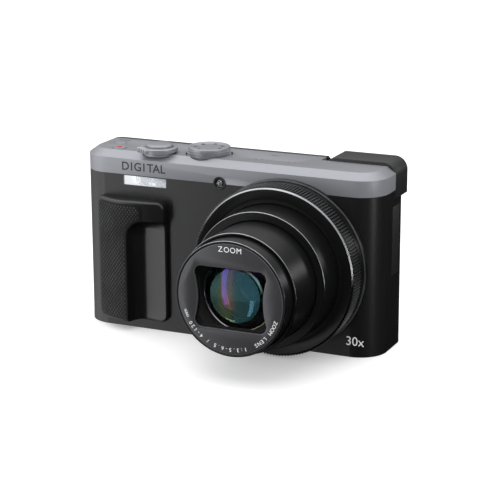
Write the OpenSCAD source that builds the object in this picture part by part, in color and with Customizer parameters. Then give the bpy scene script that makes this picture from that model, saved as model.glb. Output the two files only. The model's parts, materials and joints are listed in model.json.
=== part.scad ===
// Compact digital camera with a retracting zoom lens, in millimetres.
// +X is to the right seen from the front, the lens looks along -Y, +Z is up.
// The origin is the mouth of the tripod socket, in the plane of the base.

/* [Body] */
// Overall width of the body
body_w = 112; // [111:0.1:114]
// Height of the flat top plate above the base
top_z = 63.2; // [63:0.1:64]
// From the tripod axis forward to the front face
front_depth = 13.5; // [13.4:0.1:14]
// From the tripod axis back to the rear face
back_depth = 12.6; // [12.5:0.1:13]
// Plan radius of the two front corners
front_corner_r = 9.7; // [9:0.1:10]
// Where the front and rear shells meet, behind the tripod axis
seam_y = 7.4; // [7.3:0.1:7.5]
// Thickness of the shell walls
wall = 1.4; // [1.2:0.1:1.5]
// Height of the joint between the black shell and the metal top cover
band_z = 55.4; // [55:0.1:56]
// Depth, seen from above, of the bevel round the top plate
bevel = 3.1; // [2.5:0.1:3.2]
// Height of the bevel's lower edge
bevel_z = 61; // [60.8:0.1:61.4]

/* [Lens] */
// Lens axis to the right of the tripod axis
lens_x = 22.8; // [22.5:0.1:23]
// Lens axis above the base
lens_z = 29.9; // [29.9:0.1:30.2]
// Radius of the collar on the front face
collar_r = 29.6; // [29.5:0.1:29.7]
// Radius of the control ring over its ribs
ring_r = 29.3; // [29.1:0.1:29.4]
// Ribs round the control ring
ring_ribs = 168; // [60:2:180]
// Outer radius of the first moving barrel
stage_1_r = 23.3; // [23.2:0.1:23.3]
// Outer radius of the second moving barrel
stage_2_r = 20.2; // [20.1:0.1:20.2]
// Outer radius of the third moving barrel
stage_3_r = 19.1; // [19:0.1:19.1]
// Front of the control ring ahead of the front face
ring_reach = 11.4; // [11:0.1:11.6]
// Front of the first barrel ahead of the front face
stage_1_reach = 22.3; // [22:0.1:23]
// Front of the second barrel ahead of the front face
stage_2_reach = 38.4; // [38:0.1:39]
// Front of the third barrel ahead of the front face
stage_3_reach = 44.5; // [44:0.1:45]
// Width of the window in the front bezel
window_w = 25.2; // [24:0.1:25.4]
// Height of the window in the front bezel
window_h = 20.4; // [20:0.1:20.6]
// How far the window's sides bow inwards at mid height
window_bow = 1.2; // [0.5:0.1:1.5]

/* [Grip] */
// How far the crest of the grip stands ahead of the front face
grip_rise = 6; // [5:0.1:6.2]
// Curve of the grip between its crest and the body's corner
grip_left_r = 19.5; // [19:0.1:24]
// Curve of the grip between its crest and the lens
grip_right_r = 40; // [34:0.5:60]

/* [Controls] */
// Radius of the mode dial
mode_dial_r = 7.8; // [7.4:0.1:7.9]
// Radius of the shutter button's cap
shutter_r = 4.7; // [4.4:0.1:4.8]
// Radius of the rear control dial
rear_dial_r = 9.5; // [9:0.1:10]

/* [Battery and card] */
// Width of the battery
battery_w = 34.6; // [33:0.1:34.8]
// Thickness of the battery
battery_t = 9.6; // [9:0.1:9.8]
// Height of the battery
battery_h = 42.4; // [40:0.1:42.8]
// Width of the memory card
card_w = 24; // [23.9:0.1:24.1]
// Thickness of the memory card
card_t = 2.1; // [2:0.1:2.2]
// Height of the memory card
card_h = 32; // [31.9:0.1:32.1]
// Radius of the tripod thread, nominal 1/4 inch
tripod_r = 3.175; // [3.1:0.005:3.2]

/* [Hidden] */

$fn = 96;
front_y = -front_depth;
back_y = back_depth;
rear_corner_r = back_y - seam_y;
half_w = body_w / 2;
fit_gap = 0.05; // running clearance of a shaft in its bore
slip_gap = 0.15; // clearance of a moving cap or cover in its opening

// Lens: fronts of the barrels, and the lengths that stay engaged when it is extended
ring_front = front_y - ring_reach;
stage_1_front = front_y - stage_1_reach;
stage_2_front = front_y - stage_2_reach;
stage_3_front = front_y - stage_3_reach;
stage_1_back = -8.5;
stage_2_back = stage_2_front + 26;
stage_3_back = stage_3_front + 14;
collar_front = front_y - 2.1;
barrel_r = 25.4; // outside of the fixed barrel
hub_r = 26.6; // hub that the control ring turns on
barrel_step = 2.3; // behind this the fixed barrel narrows, below the viewfinder
barrel_end_r = 21.4;
barrel_back = 6.4;
lip = 1.5; // depth of the lip at the mouth of a barrel
guide_step = 1.1; // how far a barrel's bore widens behind its lip

front_glass_r = 12.4;
front_glass_y = [stage_3_front + 4.6, stage_3_front + 11.5]; // pole to pole

// Zoom drive: a toothed ring round the fixed barrel and a motor pinion, module 0.5
gear_module = 0.5;
ring_teeth = 107;
pinion_teeth = 12;
drive_angle = 150;
backlash = 0.1;
drive_centre = gear_module * (ring_teeth + pinion_teeth) / 2 + backlash;
drive_x = lens_x + drive_centre * cos(drive_angle);
drive_z = lens_z + drive_centre * sin(drive_angle);
gear_y = [-5, -1];

// Barrier blades, stored above and below the window
blade_t = 0.25;
blade_r = 17.9;
blade_edge = [9.9, 9.6]; // height of the outer and inner blades' edges from the axis when open
blade_y = stage_3_front + 1.05;
blade_pitch = 0.4; // from one blade layer to the next

// Controls on the top plate
shutter_at = [-27, -8.5];
mode_at = [-10.3, -3.4];
movie_at = [-43.5, -7.2];
movie_r = 2.5;
power_at = [-47.4, 1];
power_r = 2.1;
button_floor = 61.9;
dial_floor = 61.6;
lever_floor = 62.3;
lever_r = 6.4;
lever_z = [63.8, 65.3];
lever_hub_r = 5.4;
sleeve_r = 2.35;
tab_angle = 237;
tab_reach = 7.5;
tab_w = 5.4;
stem_r = 1.5;

// Flash and focus lamp, on the front face
flash_x = [-38.7, -22.1];
flash_z = [51.8, 55.1];
lamp_at = [-1.7, 55.5];
lamp_r = 2.4;

// Grip on the front face: a crowned band down its left side and another across its top
grip_x = [-49, -21.5];
grip_z = [3.4, 47.5];
grip_crest_x = -35.5;
grip_step = [-34.6, 40.2]; // right edge of the left band, lower edge of the top band
grip_step_r = 6; // hollow corner between the two bands
grip_base = 1.2; // height of the plate that fills the rest of the outline
pad_rise = 0.4;
pad_x = [-48, -29.2];
pad_z = [4.4, 46.3];

// Battery, card and their door
battery_min = [-47.6, -11.2, 2];
card_min = [-42, 0.6, 2.4];
battery_size = [battery_w, battery_t, battery_h];
card_size = [card_w, card_t, card_h];
bay_min = [-48.2, -11.8, 2];
bay_max = [-12.4, 3.4, 45.2];
door_min = [-50, -11.6];
door_max = [-10, 6.8];
door_gap_y = [door_min[1] - slip_gap, door_max[1] + slip_gap];
hinge_x = -9.4;
hinge_z = 1;
knuckle_r = 1;
pin_r = 0.4;

// Viewfinder, screen and rear controls
evf_x = [29.2, 55.9];
evf_z = [52, 64.4];
evf_y = [2.6, 14.6];
evf_gap = 0.2;
evf_round = 4.5;
eye_x = [36, 50.5];
eye_z = [54.6, 62];
eye_back = 16.5;
dioptre_at = [32, 13.2];
dioptre_z = [57.2, 59.4];
dioptre_r = 3;
screen_x = [-17, 52.4];
screen_z = [4.2, 51];
panel_x = [-13.8, 49.3];
panel_z = [6.8, 48.2];
screen_pocket = 1;
screen_proud = 0.5;
dial_at = [-36, 20];
hub_outer = 4.6;
menu_r = 4.2;
button_r = 2.2;
playback_at = [-24.5, 36];
display_at = [-46.5, 7.5];
quick_at = [-25, 7.5];
finder_at = [22, 57.6];
lock_at = [-34, 45.5];

// Terminals on the right side
port_y = [0.1, 6.9];
port_z = [25.6, 50];
port_hinge = [half_w - 0.7, 6.3];
port_knuckle_r = 0.7;

// Tripod bush
bush_r = 4.6;
bush_top = 6.3;
thread_depth = 5.5;

screw_at = [[50, -2], [30, 4.5], [12, -8], [-52.9, -1]];
screw_head_r = 1.4;

// ---- shapes used by several parts ----

// Depth of a ball's or an arch's surface behind its crest, at a distance from the crest's axis
function sag(ball, r) = ball - sqrt(ball * ball - r * r);

// Box between two x, two y and two z limits
module block(x, y, z) {
  translate([x[0], y[0], z[0]]) cube([x[1] - x[0], y[1] - y[0], z[1] - z[0]]);
}

// Cylinder along Y at x, z between two y limits
module rod_y(at, r, y, r2 = -1) {
  translate([at[0], y[1], at[1]]) rotate([90, 0, 0])
    cylinder(r1 = r2 < 0 ? r : r2, r2 = r, h = y[1] - y[0]);
}

// Tube along Y
module tube_y(at, outer, inner, y) {
  difference() {
    rod_y(at, outer, y);
    rod_y(at, inner, [y[0] - 1, y[1] + 1]);
  }
}

// Cylinder along Z at x, y between two z limits
module rod_z(at, r, z) {
  translate([at[0], at[1], z[0]]) cylinder(r = r, h = z[1] - z[0]);
}

// Rounded rectangle in the drawing plane
module rounded(x, z, r) {
  translate([x[0] + r, z[0]]) square([x[1] - x[0] - 2 * r, z[1] - z[0]]);
  translate([x[0], z[0] + r]) square([x[1] - x[0], z[1] - z[0] - 2 * r]);
  for (cx = [x[0] + r, x[1] - r], cz = [z[0] + r, z[1] - r])
    translate([cx, cz]) circle(r = r, $fn = 48);
}

// A drawing in x and z made solid between two y limits
module extrude_y(y) {
  translate([0, y[1], 0]) rotate([90, 0, 0]) linear_extrude(y[1] - y[0]) children();
}

// Plan of the body, drawn in by an inset
module plan(inset = 0) {
  fr = front_corner_r;
  rr = rear_corner_r;
  translate([-half_w + fr, front_y + inset]) square([body_w - 2 * fr, back_y - front_y - 2 * inset]);
  translate([-half_w + inset, front_y + fr]) square([body_w - 2 * inset, back_y - rr - front_y - fr]);
  translate([-half_w + rr, 0]) square([body_w - 2 * rr, back_y - inset]);
  for (side = [-1, 1]) {
    translate([side * (half_w - fr), front_y + fr]) circle(r = fr - inset);
    translate([side * (half_w - rr), back_y - rr]) circle(r = rr - inset);
  }
}

module body_prism(z, inset = 0) {
  translate([0, 0, z[0]]) linear_extrude(z[1] - z[0]) plan(inset);
}

// The bevelled top of the body, between the bevel's lower edge and the top plate
module body_bevel() {
  rise = top_z - bevel_z;
  side = [[-half_w, bevel_z], [half_w, bevel_z], [half_w - bevel, top_z], [-half_w + bevel, top_z]];
  depth = [[front_y, bevel_z], [back_y, bevel_z], [back_y - bevel, top_z], [front_y + bevel, top_z]];
  extrude_y([front_y + front_corner_r, back_y - rear_corner_r]) polygon(side);
  for (half = [half_w - front_corner_r, half_w - rear_corner_r])
    intersection() {
      rotate([90, 0, 90]) translate([0, 0, -half]) linear_extrude(2 * half) polygon(depth);
      block([-half_w, half_w], [half > half_w - 7 ? 0 : front_y, back_y], [0, top_z]);
    }
  for (side_x = [-1, 1]) {
    translate([side_x * (half_w - front_corner_r), front_y + front_corner_r, bevel_z])
      cylinder(r1 = front_corner_r, r2 = front_corner_r - bevel, h = rise);
    translate([side_x * (half_w - rear_corner_r), back_y - rear_corner_r, bevel_z])
      cylinder(r1 = rear_corner_r, r2 = rear_corner_r - bevel, h = rise);
  }
}

// Room for the viewfinder housing in the shells
module evf_room() {
  block([evf_x[0] - evf_gap, half_w + 1], [evf_y[0] - evf_gap, back_y + 1], [evf_z[0] - evf_gap, top_z + 2]);
}

// Outline with straight ribs, for knurled rims
module ribbed(r, ribs, depth) {
  step = 360 / ribs;
  polygon([for (i = [0 : ribs - 1], k = [0 : 3])
    let (radius = k < 2 ? r : r - depth, a = step * (i + [0, 0.5, 0.6, 0.9][k])) radius * [cos(a), sin(a)]]);
}

// Spur gear outline with straight flanks; one tooth is centred on angle 0
module gear(teeth, root_w, pitch_w, tip_w) {
  pitch_r = gear_module * teeth / 2;
  step = 360 / teeth;
  rows = [[-root_w, -1.2], [-pitch_w, 0], [-tip_w, 0.95], [tip_w, 0.95], [pitch_w, 0], [root_w, -1.2]];
  polygon([for (i = [0 : teeth - 1], row = rows)
    let (a = step * (i + row[0]), radius = pitch_r + gear_module * row[1]) radius * [cos(a), sin(a)]]);
}

// ---- body ----

module front_shell() {
  color("#1a1a1b")
  difference() {
    intersection() {
      body_prism([0, band_z]);
      block([-half_w, half_w], [front_y, seam_y], [0, band_z]);
    }
    body_prism([wall, band_z + 1], wall);
    evf_room();
    rod_y([lens_x, lens_z], barrel_r + fit_gap, [front_y - 1, 0]);
    block(flash_x, [front_y - 1, front_y + 3], flash_z);
    rod_y(lamp_at, lamp_r, [front_y - 1, front_y + 4]);
    block([door_min[0] - slip_gap, hinge_x], door_gap_y, [-1, wall + 1]);
    rod_y([hinge_x, hinge_z], knuckle_r + 0.25, door_gap_y);
    block([hinge_x, hinge_x + knuckle_r + 0.25], door_gap_y, [-1, hinge_z]);
    block([half_w - 2, half_w + 1], [port_y[0], seam_y + 1], port_z);
    rod_z([0, 0], bush_r, [-1, wall + 1]);
    block([-half_w - 1, -half_w + 2], [-0.7, 0.7], [44, 54]);
    for (at = screw_at) {
      rod_z(at, screw_head_r, [-1, 0.9]);
      rod_z(at, 0.7, [0, wall + 1]);
    }
  }
}

module top_cover() {
  color("#8f9194")
  difference() {
    union() {
      difference() {
        intersection() {
          union() {
            body_prism([band_z, bevel_z]);
            body_bevel();
          }
          block([-half_w, half_w], [front_y, seam_y], [band_z, top_z]);
        }
        body_prism([band_z - 1, top_z - 3], wall);
      }
      rod_z(shutter_at, 2.8, [56.5, top_z - 3]);
      rod_z(mode_at, 3.2, [57.5, top_z - 3]);
    }
    difference() {
      rod_z(shutter_at, lever_hub_r + 0.3, [lever_floor, top_z + 1]);
      rod_z(shutter_at, sleeve_r, [lever_floor - 1, 62.95]);
    }
    rod_z(shutter_at, stem_r + fit_gap, [band_z, top_z + 1]);
    rod_z(mode_at, mode_dial_r + 0.4, [dial_floor, top_z + 1]);
    rod_z(mode_at, 2 + fit_gap, [band_z, top_z]);
    for (button = [[movie_at, movie_r], [power_at, power_r]]) {
      rod_z(button[0], button[1] + slip_gap, [button_floor, top_z + 1]);
      rod_z(button[0], 1 + fit_gap, [band_z, top_z]);
    }
    evf_room();
    rod_y(lamp_at, lamp_r, [front_y - 1, front_y + 4]);
    for (x = [9.1, 21.2], side = [-1, 1]) rod_z([x + side * 1.1, -4.7], 0.45, [band_z, top_z + 1]);
  }
}

module rear_shell() {
  color("#1a1a1b")
  difference() {
    union() {
      difference() {
        intersection() {
          union() {
            body_prism([0, bevel_z]);
            body_bevel();
          }
          block([-half_w, half_w], [seam_y, back_y], [0, top_z]);
        }
        body_prism([wall, top_z - 2.2], wall);
      }
      rod_y(dial_at, rear_dial_r + 1.4, [9, back_y]);
    }
    evf_room();
    extrude_y([back_y - screen_pocket, back_y + 1])
      rounded([screen_x[0] - 0.1, screen_x[1] + 0.1], [screen_z[0] - 0.1, screen_z[1] + 0.1], 2.6);
    block([panel_x[0] - 0.1, panel_x[1] + 0.1], [0, back_y], [panel_z[0] - 0.1, panel_z[1] + 0.1]);
    difference() {
      rod_y(dial_at, rear_dial_r + slip_gap, [11.3, back_y + 1]);
      rod_y(dial_at, hub_outer, [11, back_y]);
    }
    rod_y(dial_at, menu_r + slip_gap, [10, back_y + 1]);
    for (at = [playback_at, display_at, quick_at, finder_at, lock_at])
      rod_y(at, button_r + slip_gap, [0, back_y + 1]);
  }
}

module grip_outline() {
  rounded(grip_x, grip_z, 3);
}

// Plan of the crowned front, raised by a layer on it
module grip_crown(layer = 0) {
  rows = 12;
  crest_y = front_y - grip_rise - layer;
  left_w = grip_crest_x - grip_x[0];
  right_w = grip_x[1] - grip_crest_x;
  polygon([
    [grip_x[0], front_y + 1],
    for (i = [rows : -1 : 0]) let (w = left_w * i / rows) [grip_crest_x - w, crest_y + sag(grip_left_r, w)],
    for (i = [1 : rows]) let (w = right_w * i / rows) [grip_crest_x + w, crest_y + sag(grip_right_r, w)],
    [grip_x[1], front_y + 1]
  ]);
}

// Outline of the two raised bands between outer limits, with the hollow corner between them
module grip_bands(x, z, step) {
  corner = [step[0] + grip_step_r, step[1] - grip_step_r];
  difference() {
    rounded(x, z, 2);
    translate(corner) circle(r = grip_step_r);
    translate([step[0], z[0] - 1]) square([x[1] - step[0] + 1, corner[1] - z[0] + 1]);
    translate([corner[0], z[0] - 1]) square([x[1] - corner[0] + 1, step[1] - z[0] + 1]);
  }
}

module grip() {
  color("#151516")
  difference() {
    union() {
      extrude_y([front_y - grip_base, front_y + 1]) grip_outline();
      intersection() {
        translate([0, 0, grip_z[0]]) linear_extrude(grip_z[1] - grip_z[0]) grip_crown();
        extrude_y([front_y - grip_rise - 1, front_y + 1]) grip_bands(grip_x, grip_z, grip_step);
      }
    }
    body_prism([0, band_z]);
  }
}

module grip_pad() {
  color("#0f0f10")
  intersection() {
    translate([0, 0, grip_z[0]]) linear_extrude(grip_z[1] - grip_z[0])
      difference() {
        grip_crown(pad_rise);
        grip_crown();
      }
    extrude_y([front_y - grip_rise - 1, front_y]) grip_bands(pad_x, pad_z, grip_step + [-0.4, 0.5]);
  }
}

// ---- lens, fixed parts ----

lens_at = [lens_x, lens_z];

module lens_collar() {
  color("#161617") {
    tube_y(lens_at, collar_r, barrel_r, [collar_front, front_y]);
    tube_y(lens_at, hub_r, barrel_r, [ring_front + 0.9, collar_front]);
  }
}

module control_ring() {
  color("#1c1c1d") {
    translate([lens_x, collar_front - 0.2, lens_z]) rotate([90, 0, 0])
      linear_extrude(collar_front - 0.2 - (ring_front + 1))
        difference() {
          ribbed(ring_r, ring_ribs, 0.35);
          circle(r = hub_r + fit_gap);
        }
    tube_y(lens_at, ring_r - 0.35, hub_r + fit_gap, [ring_front + 0.7, ring_front + 1]);
    tube_y(lens_at, ring_r - 0.35, barrel_r - 0.3, [ring_front, ring_front + 0.7]);
  }
}

module fixed_barrel() {
  color("#141415")
  difference() {
    union() {
      rod_y(lens_at, barrel_r, [ring_front + 0.8, barrel_step]);
      rod_y(lens_at, barrel_end_r, [barrel_step, barrel_back]);
      for (y = [gear_y[0] - 0.7, gear_y[1] + 0.1]) rod_y(lens_at, barrel_r + 0.5, [y, y + 0.6]);
    }
    rod_y(lens_at, stage_1_r + slip_gap, [ring_front, 0]);
    rod_y(lens_at, stage_1_r + guide_step, [ring_front + lip + 0.8, barrel_step - 0.4]);
    rod_y(lens_at, barrel_end_r - 1, [0, barrel_back - 1]);
    block([lens_x - 4, lens_x + 4], [0, barrel_back + 1], [lens_z - 3.2, lens_z + 3.2]);
  }
}

module drive_ring() {
  color("#d8d6cf")
  translate([lens_x, gear_y[1], lens_z]) rotate([90, 0, 0]) linear_extrude(gear_y[1] - gear_y[0])
    difference() {
      rotate(drive_angle) gear(ring_teeth, 0.33, 0.21, 0.1);
      circle(r = barrel_r + fit_gap, $fn = 180);
    }
}

module motor_pinion() {
  color("#b08d57") {
    translate([drive_x, gear_y[1], drive_z]) rotate([90, 0, 0]) linear_extrude(gear_y[1] - gear_y[0])
      rotate(drive_angle + 180 + 180 / pinion_teeth) gear(pinion_teeth, 0.27, 0.19, 0.08);
    rod_y([drive_x, drive_z], 0.5, [gear_y[0] - 0.4, 2]);
  }
}

module zoom_motor() {
  color("#9b9ea2")
  difference() {
    rod_y([drive_x, drive_z], 4.2, [0.2, 7.2]);
    rod_y([drive_x, drive_z], 0.5 + fit_gap, [0, 2.1]);
  }
}

// ---- lens, moving barrels ----

module stage_1() {
  color("#18181a")
  difference() {
    union() {
      rod_y(lens_at, stage_1_r, [stage_1_front, stage_1_back]);
      rod_y(lens_at, stage_1_r + guide_step - slip_gap, [stage_1_back - lip, stage_1_back]);
    }
    rod_y(lens_at, stage_2_r + slip_gap, [stage_1_front - 1, 0]);
    rod_y(lens_at, stage_2_r + slip_gap + guide_step, [stage_1_front + lip, stage_1_back + 1]);
  }
  color("#18181a")
  tube_y(lens_at, stage_2_r + slip_gap + guide_step, 10, [stage_1_back - 1.1, stage_1_back]);
}

module stage_2() {
  color("#18181a")
  difference() {
    union() {
      rod_y(lens_at, stage_2_r, [stage_2_front, stage_2_back]);
      rod_y(lens_at, stage_2_r + guide_step, [stage_2_back - lip, stage_2_back]);
    }
    rod_y(lens_at, stage_3_r + slip_gap, [stage_2_front - 1, stage_2_back + 1]);
  }
}

module stage_3() {
  color("#18181a")
  tube_y(lens_at, stage_3_r, stage_3_r - 0.8, [stage_3_front, stage_3_back]);
}

module window_outline() {
  x = window_w / 2;
  z = window_h / 2;
  side_z = z - 2.6; // where the bowed sides meet the rounded corners
  bow_r = (side_z * side_z + window_bow * window_bow) / (2 * window_bow);
  difference() {
    rounded([-x, x], [-z, z], 2.6);
    for (side = [-1, 1]) translate([side * (x - window_bow + bow_r), 0]) circle(r = bow_r);
  }
}

module name_ring() {
  color("#1b1b1c")
  translate([lens_x, stage_3_front + 0.9, lens_z]) rotate([90, 0, 0]) linear_extrude(0.9)
    difference() {
      circle(r = stage_3_r - 0.8 - fit_gap);
      window_outline();
    }
}

// side 1 is above the axis and -1 below; layer 0 is the outer blade
module blade(side, layer) {
  y = blade_y + layer * blade_pitch;
  color("#2a2b2d")
  translate([lens_x, y + blade_t, lens_z]) rotate([90, 0, 0]) linear_extrude(blade_t)
    intersection() {
      circle(r = blade_r);
      translate([-blade_r, side > 0 ? blade_edge[layer] : -blade_r])
        square([2 * blade_r, blade_r - blade_edge[layer]]);
    }
}

// Cell of the front element: a hood that narrows to the glass, and a shoulder behind it
module front_cell() {
  color("#101011")
  difference() {
    rod_y(lens_at, stage_3_r - 0.8 - fit_gap, [stage_3_front + 1.9, stage_3_back - 1]);
    translate([lens_x, stage_3_front + 3, lens_z]) rotate([90, 0, 0]) linear_extrude(2) window_outline();
    rod_y(lens_at, 15, [stage_3_front + 2.4, front_glass_y[0] + 1.4], front_glass_r);
    rod_y(lens_at, front_glass_r, [stage_3_front + 5, front_glass_y[1] + 0.1]);
    rod_y(lens_at, 8, [stage_3_front, stage_3_back]);
    tube_y(lens_at, 17, front_glass_r + 1, [stage_3_front + 9.5, stage_3_back]);
  }
}

// A lens turned about the axis, convex on both faces
module lens_shape(r, front_at, back_at, front_ball, back_ball) {
  rows = 6;
  translate([lens_x, front_at, lens_z]) rotate([-90, 0, 0]) rotate_extrude()
    polygon([
      for (i = [0 : rows]) [r * i / rows, sag(front_ball, r * i / rows)],
      for (i = [rows : -1 : 0]) [r * i / rows, back_at - front_at - sag(back_ball, r * i / rows)]
    ]);
}

module front_element() {
  color("#4d6a6e", 0.5) lens_shape(front_glass_r, front_glass_y[0], front_glass_y[1], 26, 60);
}

module zoom_cell() {
  color("#101011")
  difference() {
    rod_y(lens_at, stage_3_r + slip_gap - fit_gap, [stage_2_front + 15, stage_2_front + 19]);
    rod_y(lens_at, 6.5, [stage_2_front + 14, stage_2_front + 20]);
  }
}

module zoom_element() {
  color("#4d6a6e", 0.5) lens_shape(6.5, stage_2_front + 15.4, stage_2_front + 18.4, 18, 18);
}

module shutter_unit() {
  color("#202022")
  difference() {
    rod_y(lens_at, 12, [stage_1_back - 8, stage_1_back - 1.1]);
    rod_y(lens_at, 3, [stage_1_back - 9, stage_1_back - 7.5]);
    rod_y(lens_at, 5, [stage_1_back - 7.5, stage_1_back]);
  }
}

module focus_cell() {
  color("#101011") tube_y(lens_at, 9, 5.2, [2.5, 4.7]);
}

module focus_element() {
  color("#4d6a6e", 0.5) lens_shape(5.2, 2.6, 4.6, 20, 20);
}

module sensor() {
  color("#3c5a4a") block([lens_x - 3.8, lens_x + 3.8], [5.2, barrel_back], [lens_z - 3, lens_z + 3]);
}

// ---- inside the body ----

module main_board() {
  color("#1f5b3a")
  difference() {
    block([-15, 52], [7.6, 8.5], [4, 50.5]);
    for (x = [-12, 49], z = [7, 47.5]) rod_y([x, z], 1, [7, 9]);
  }
}

module chassis() {
  color("#a9abad")
  difference() {
    union() {
      block([-49.5, -9.5], [3.6, 4.4], [3.6, 53]);
      block([-9.5, 8], [3.6, 4.4], [2.4, 8]);
      block([-8, 8], [-7, 3.6], [2.4, 3.2]);
    }
    rod_z([0, 0], bush_r + fit_gap, [2, bush_top + 0.2]);
  }
}

module tripod_bush() {
  color("#b9bbbd")
  difference() {
    union() {
      rod_z([0, 0], bush_r, [0, bush_top]);
      rod_z([0, 0], bush_r + 1.4, [wall, wall + 1]);
    }
    rod_z([0, 0], tripod_r, [-1, thread_depth]);
  }
}

module battery() {
  color("#2b2f36") translate(battery_min) cube(battery_size);
}

module battery_bay() {
  color("#303236")
  difference() {
    block([bay_min[0], bay_max[0]], [bay_min[1], bay_max[1]], [bay_min[2], bay_max[2]]);
    translate(battery_min - [0.1, 0.1, 1]) cube(battery_size + [0.2, 0.2, 1.1]);
    translate(card_min - [0.1, 0.1, 1]) cube([card_size[0], card_size[1], card_size[2]] + [0.2, 0.2, 1.1]);
  }
}

module memory_card() {
  color("#20304f") translate(card_min) cube(card_size);
}

module battery_door() {
  color("#171718")
  difference() {
    union() {
      block([door_min[0], hinge_x - 0.3], [door_min[1], door_max[1]], [0, wall]);
      for (y = [-10.5, 1.7]) {
        rod_y([hinge_x, hinge_z], knuckle_r, [y, y + 4]);
        block([hinge_x - 1.5, hinge_x], [y, y + 4], [0.4, wall]);
      }
    }
    rod_y([hinge_x, hinge_z], pin_r + fit_gap, [-20, 20]);
    block([-48.1, -39.9], [-5.1, 0.1], [-1, 0.9]);
  }
}

module door_pin() {
  color("#c4c6c8") rod_y([hinge_x, hinge_z], pin_r, door_gap_y);
}

module door_latch() {
  color("#2a2a2c")
  difference() {
    block([-48, -42.6], [-5, 0], [0.05, 0.8]);
    for (x = [-47, -46, -45, -44]) block([x, x + 0.5], [-4.2, -0.8], [0, 0.3]);
  }
}

module lcd_panel() {
  color("#33363a") block(panel_x, [8.7, back_y - screen_pocket - 0.05], panel_z);
}

module lcd_cover() {
  color("#0b0c0e")
  extrude_y([back_y - screen_pocket, back_y + screen_proud]) rounded(screen_x, screen_z, 2.5);
}

// ---- controls ----

module mode_dial() {
  color("#9a9c9f")
  difference() {
    union() {
      translate([mode_at[0], mode_at[1], dial_floor + 0.2]) linear_extrude(3.8) ribbed(mode_dial_r, 64, 0.25);
      rod_z(mode_at, mode_dial_r - 0.5, [dial_floor + 3, 66]);
      rod_z(mode_at, 2, [57.5, dial_floor + 1]);
    }
    rod_z(mode_at, mode_dial_r - 1.1, [65.4, 67]);
  }
}

module shutter_button() {
  color("#a2a4a7") {
    rod_z(shutter_at, shutter_r, [64, 66.2]);
    translate([shutter_at[0], shutter_at[1], 66.2]) cylinder(r1 = shutter_r, r2 = shutter_r - 0.6, h = 0.4);
    rod_z(shutter_at, stem_r, [57, 64]);
  }
}

module zoom_lever() {
  color("#97999c")
  difference() {
    union() {
      rod_z(shutter_at, lever_hub_r, [lever_floor + 0.2, lever_z[0]]);
      rod_z(shutter_at, lever_r, lever_z);
      translate([shutter_at[0], shutter_at[1], lever_z[0]]) rotate(tab_angle)
        translate([0, -tab_w / 2, 0]) cube([tab_reach, tab_w, lever_z[1] - lever_z[0]]);
    }
    rod_z(shutter_at, shutter_r + slip_gap, [63, 67]);
    rod_z(shutter_at, sleeve_r + fit_gap, [60, 64]);
  }
}

module movie_button() {
  color("#a8aaad") {
    rod_z(movie_at, movie_r, [button_floor + 0.4, 63.5]);
    rod_z(movie_at, 1, [58.5, button_floor + 0.4]);
  }
}

module power_button() {
  color("#97999c") {
    rod_z(power_at, power_r, [button_floor + 0.4, 63.4]);
    rod_z(power_at, 1, [58.5, button_floor + 0.4]);
  }
}

module flash_unit() {
  color("#dfe1e3")
  difference() {
    block(flash_x, [front_y + wall, front_y + 6], [flash_z[0] - 0.2, flash_z[1] + 0.2]);
    intersection() {
      block([-34.2, flash_x[1] - 0.4], [front_y, front_y + 5.4], [flash_z[0] + 0.2, flash_z[1] - 0.2]);
      translate([0, front_y, (flash_z[0] + flash_z[1]) / 2]) rotate([0, 90, 0])
        translate([0, 0, -40]) cylinder(r = 5.2, h = 30);
    }
  }
}

module flash_window() {
  color("#e8ebee", 0.6) block(flash_x, [front_y, front_y + wall], flash_z);
}

module af_lamp() {
  color("#303236")
  difference() {
    rod_y(lamp_at, lamp_r, [front_y - 0.15, front_y + 3]);
    rod_y(lamp_at, 1.5, [front_y - 1, front_y + 0.6], 1);
  }
}

module evf_profile(inset = 0) {
  x = [evf_x[0] + inset, evf_x[1] - inset];
  z = [evf_z[0] + inset, evf_z[1] - inset];
  r = evf_round - inset;
  slope = [4, 2.6]; // width and height of the sloping end
  polygon([
    [x[0], z[0]], [x[1], z[0]], [x[1], z[1] - r],
    [x[1] - r, z[1]], [x[0] + slope[0], z[1]], [x[0], z[1] - slope[1]]
  ]);
  translate([x[1] - r, z[1] - r]) circle(r = r);
}

module evf_housing() {
  color("#141415")
  difference() {
    union() {
      extrude_y(evf_y) evf_profile();
      extrude_y([evf_y[1], eye_back]) rounded([eye_x[0] - 2.6, eye_x[1] + 2.6], [53, 63.6], 2);
    }
    extrude_y([evf_y[0] + 1.2, evf_y[1] - 1.4]) evf_profile(1.2);
    extrude_y([evf_y[1] - 2, eye_back + 1]) rounded(eye_x, eye_z, 1.5);
    rod_z(dioptre_at, dioptre_r + slip_gap, [dioptre_z[0] - slip_gap, dioptre_z[1] + slip_gap]);
  }
}

module eyepiece() {
  color("#5b6f80", 0.5) extrude_y([evf_y[1] - 1.3, evf_y[1] - 0.2]) rounded(eye_x, eye_z, 1.5);
}

module dioptre_wheel() {
  color("#202022") translate([dioptre_at[0], dioptre_at[1], dioptre_z[0]])
    linear_extrude(dioptre_z[1] - dioptre_z[0]) ribbed(dioptre_r, 30, 0.2);
}

module rear_dial() {
  color("#202022")
  translate([dial_at[0], back_y + 0.9, dial_at[1]]) rotate([90, 0, 0]) linear_extrude(back_y + 0.9 - 11.5)
    difference() {
      ribbed(rear_dial_r, 60, 0.2);
      circle(r = hub_outer + fit_gap);
    }
}

module menu_button() {
  color("#232325") rod_y(dial_at, menu_r, [10.6, back_y + 0.7]);
}

// Round rear button with a flange that holds it behind the shell
module rear_button(at) {
  color("#232325") {
    rod_y(at, button_r, [back_y - wall - 0.2, back_y + 0.4]);
    rod_y(at, button_r + 0.6, [back_y - wall - 1, back_y - wall - 0.2]);
  }
}

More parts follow.
